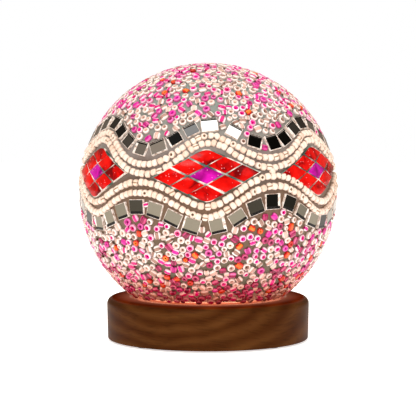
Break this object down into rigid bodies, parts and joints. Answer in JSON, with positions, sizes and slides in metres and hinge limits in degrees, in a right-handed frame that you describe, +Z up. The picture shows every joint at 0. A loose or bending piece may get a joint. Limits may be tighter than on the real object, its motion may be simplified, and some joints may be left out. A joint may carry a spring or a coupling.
{
  "type": "mosaic glass table lamp",
  "caption": "Glass globe covered in seed beads, mirror tiles and red glass diamonds, resting on a round turned wooden base that holds a small LED light unit.",
  "frame": {"origin": "centre of the plane that the rubber feet stand on", "axes": "+Z up, the front of the lamp faces -Y, the button and the power socket are at +Y"},
  "size_m": [0.159, 0.1592, 0.1715],
  "materials": {
    "walnut": "turned walnut, satin varnish",
    "foot_rubber": "moulded rubber",
    "black_plastic": "moulded plastic, fine texture",
    "screw_steel": "zinc-plated steel",
    "plated_steel": "nickel-plated steel",
    "collar_brass": "brushed brass",
    "driver_board": "green circuit board",
    "coil_ferrite": "dark ferrite",
    "light_board": "white circuit board",
    "led": "LED package with clear dome",
    "opal_plastic": "opal diffusing plastic",
    "seat_silicone": "clear silicone",
    "lead_plastic": "PVC insulated lead",
    "clear_glass": "blown clear glass",
    "cream_beads": "opaque cream glass seed beads in white adhesive",
    "pink_beads": "white, pink and orange glass seed beads in adhesive",
    "mirror_glass": "cut mirror tiles in adhesive",
    "red_glass": "mottled red glass tiles",
    "magenta_glass": "mottled magenta glass tile"
  },
  "bodies": {
    "root": {"base_cover": "black_plastic", "board_screw_1": "screw_steel", "board_screw_2": "screw_steel", "board_screw_3": "screw_steel", "button_housing": "black_plastic", "button_spring": "plated_steel", "collar_screw_1": "collar_brass", "collar_screw_2": "collar_brass", "collar_screw_3": "collar_brass", "cover_screw_1": "screw_steel", "cover_screw_2": "screw_steel", "cover_screw_3": "screw_steel", "cover_screw_4": "screw_steel", "diffuser_collar": "collar_brass", "driver_board": "driver_board", "driver_chip": "black_plastic", "driver_coil": "coil_ferrite", "driver_screw_1": "screw_steel", "driver_screw_2": "screw_steel", "led_1": "led", "led_2": "led", "led_3": "led", "led_4": "led", "led_5": "led", "led_6": "led", "light_board": "light_board", "light_lead": "lead_plastic", "opal_diffuser": "opal_plastic", "power_socket": "plated_steel", "rubber_foot_1": "foot_rubber", "rubber_foot_2": "foot_rubber", "rubber_foot_3": "foot_rubber", "rubber_foot_4": "foot_rubber", "seat_ring": "seat_silicone", "socket_housing": "black_plastic", "socket_lead": "lead_plastic", "socket_tongue": "black_plastic", "switch_block": "black_plastic", "switch_lead": "lead_plastic", "wooden_base": "walnut"},
    "globe": {"glass_globe": "clear_glass", "lower_bead_band": "cream_beads", "lower_bead_field": "pink_beads", "lower_mirror_course": "mirror_glass", "magenta_tile_1": "magenta_glass", "magenta_tile_2": "magenta_glass", "magenta_tile_3": "magenta_glass", "magenta_tile_4": "magenta_glass", "magenta_tile_5": "magenta_glass", "magenta_tile_6": "magenta_glass", "red_diamond_1": "red_glass", "red_diamond_2": "red_glass", "red_diamond_3": "red_glass", "red_diamond_4": "red_glass", "red_diamond_5": "red_glass", "red_diamond_6": "red_glass", "upper_bead_band": "cream_beads", "upper_bead_field": "pink_beads", "upper_mirror_course": "mirror_glass"},
    "button": {"push_button": "plated_steel"}
  },
  "joints": [
    {"name": "globe_lift", "type": "slide", "parent": "root", "child": "globe", "axis": [0, 0, 1], "range_m": [0, 0.03]},
    {"name": "button_press", "type": "slide", "parent": "root", "child": "button", "axis": [0.2588, -0.9659, 0], "range_m": [0, 0.0015], "stiffness_N_per_m": 300, "springref_m": -0.001, "deforming": ["button_spring"]}
  ]
}
